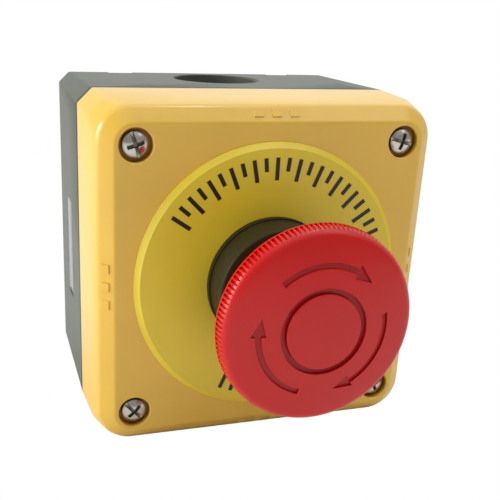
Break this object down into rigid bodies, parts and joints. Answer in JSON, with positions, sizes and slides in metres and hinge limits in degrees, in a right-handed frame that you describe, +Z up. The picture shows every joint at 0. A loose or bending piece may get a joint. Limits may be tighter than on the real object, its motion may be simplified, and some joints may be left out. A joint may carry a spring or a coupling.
{
  "type": "emergency stop switch",
  "caption": "Square surface-mounting box with a mushroom push button on a round legend plate; pressing it latches, turning releases.",
  "frame": {"origin": "centre of the rear mounting face", "axes": "+Y out of the rear face into the wall or machine, the button faces -Y; +Z up, with the cable entry on top; +X to the right as seen from the front"},
  "size_m": [0.075, 0.0881, 0.075],
  "materials": {
    "housing_grey": "satin moulded",
    "cover_yellow": "semi-gloss moulded",
    "legend_yellow": "satin",
    "button_red": "semi-gloss moulded",
    "black_plastic": "satin",
    "black_rubber": "matte",
    "nickel_steel": "nickel plated",
    "spring_steel": "bright drawn",
    "cast_metal": "die cast",
    "brass": "turned and stamped",
    "white_plastic": "moulded",
    "block_grey": "moulded",
    "plunger_red": "moulded",
    "plunger_green": "moulded"
  },
  "bodies": {
    "enclosure": {"rear_housing": "housing_grey", "front_cover": "cover_yellow", "cover_gasket": "black_rubber", "cover_screws": "nickel_steel", "threaded_inserts": "brass", "legend_plate": "legend_yellow", "bezel": "black_plastic", "bezel_gasket": "black_rubber", "fixing_nut": "black_plastic", "stem_seal": "black_rubber", "retaining_ring": "black_plastic", "return_spring": "spring_steel", "block_screws": "nickel_steel", "nc_block_housing": "block_grey", "nc_block_cover": "block_grey", "nc_spring": "spring_steel", "nc_terminals": "brass", "nc_terminal_screws": "nickel_steel", "nc_clamps": "nickel_steel", "no_block_housing": "block_grey", "no_block_cover": "block_grey", "no_spring": "spring_steel", "no_terminals": "brass", "no_terminal_screws": "nickel_steel", "no_clamps": "nickel_steel"},
    "actuator": {"actuator": "white_plastic", "latch_pins": "spring_steel", "pusher": "white_plastic", "twist_spring": "spring_steel"},
    "button": {"mushroom_button": "button_red", "centre_cap": "button_red", "stem": "cast_metal", "stem_clip": "spring_steel", "stem_screw": "nickel_steel"},
    "nc_plunger": {"nc_plunger": "plunger_red", "nc_bridge": "brass"},
    "no_plunger": {"no_plunger": "plunger_green", "no_bridge": "brass"}
  },
  "joints": [
    {"name": "button_press", "type": "slide", "parent": "enclosure", "child": "actuator", "axis": [0, 1, 0], "range_m": [0, 0.0055], "stiffness_N_per_m": 2500, "springref_m": -0.004, "deforming": ["return_spring"]},
    {"name": "button_twist", "type": "hinge", "parent": "actuator", "child": "button", "pos_m": [0, 0, 0], "axis": [0, 1, 0], "range_deg": [0, 40], "stiffness_Nm_per_rad": 0.05, "springref_deg": -17.19, "deforming": ["twist_spring"]},
    {"name": "nc_plunger_press", "type": "slide", "parent": "enclosure", "child": "nc_plunger", "axis": [0, 1, 0], "range_m": [0, 0.0055], "stiffness_N_per_m": 300, "springref_m": -0.003, "deforming": ["nc_spring"]},
    {"name": "no_plunger_press", "type": "slide", "parent": "enclosure", "child": "no_plunger", "axis": [0, 1, 0], "range_m": [0, 0.0055], "stiffness_N_per_m": 300, "springref_m": -0.003, "deforming": ["no_spring"]}
  ],
  "couplings": [
    {"joint": "nc_plunger_press", "follows": "button_press", "ratio": 1},
    {"joint": "no_plunger_press", "follows": "button_press", "ratio": 1}
  ]
}
